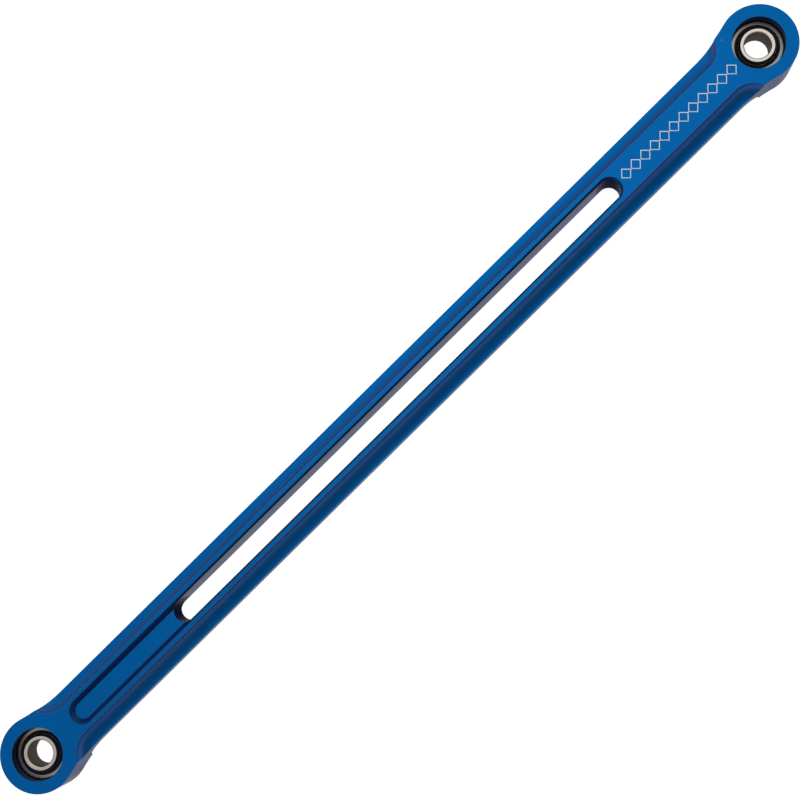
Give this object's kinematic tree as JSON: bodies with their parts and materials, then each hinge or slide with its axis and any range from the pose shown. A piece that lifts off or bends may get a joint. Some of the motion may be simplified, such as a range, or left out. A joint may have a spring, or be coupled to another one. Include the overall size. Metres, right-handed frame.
{
  "type": "suspension link rod",
  "caption": "Straight machined aluminium link rod with a lightening slot and side coves, and a spherical plain bearing pressed into the eye at each end.",
  "frame": {"origin": "centre of the box round the whole rod: midway between the two eye centres, at half the bar's thickness", "axes": "+X along the bar to the marked end, +Z out of the front face and along both bearing bores, +Y across the bar"},
  "size_m": [0.3284, 0.0236, 0.0126],
  "materials": {
    "anodised_bar": "machined aluminium, fine blasted and anodised blue, satin",
    "race_steel": "hardened bearing steel, ground and blackened slightly by oil",
    "liner_polymer": "dark dry-running composite",
    "ball_chrome": "hard chromed and polished sphere, ground end faces"
  },
  "bodies": {
    "bar": {"link_bar": "anodised_bar", "left_outer_race": "race_steel", "right_outer_race": "race_steel"},
    "left_liner": {"left_liner": "liner_polymer"},
    "left_ball": {"left_ball": "ball_chrome"},
    "right_liner": {"right_liner": "liner_polymer"},
    "right_ball": {"right_ball": "ball_chrome"}
  },
  "joints": [
    {"name": "left_bearing_spin", "type": "hinge", "parent": "bar", "child": "left_liner", "pos_m": [-0.1524, 0, 0], "axis": [0, 0, 1], "continuous": true},
    {"name": "left_ball_tilt", "type": "hinge", "parent": "left_liner", "child": "left_ball", "pos_m": [-0.1524, 0, 0], "axis": [1, 0, 0], "range_deg": [-15, 15]},
    {"name": "right_bearing_spin", "type": "hinge", "parent": "bar", "child": "right_liner", "pos_m": [0.1524, 0, 0], "axis": [0, 0, 1], "continuous": true},
    {"name": "right_ball_tilt", "type": "hinge", "parent": "right_liner", "child": "right_ball", "pos_m": [0.1524, 0, 0], "axis": [1, 0, 0], "range_deg": [-15, 15]}
  ]
}
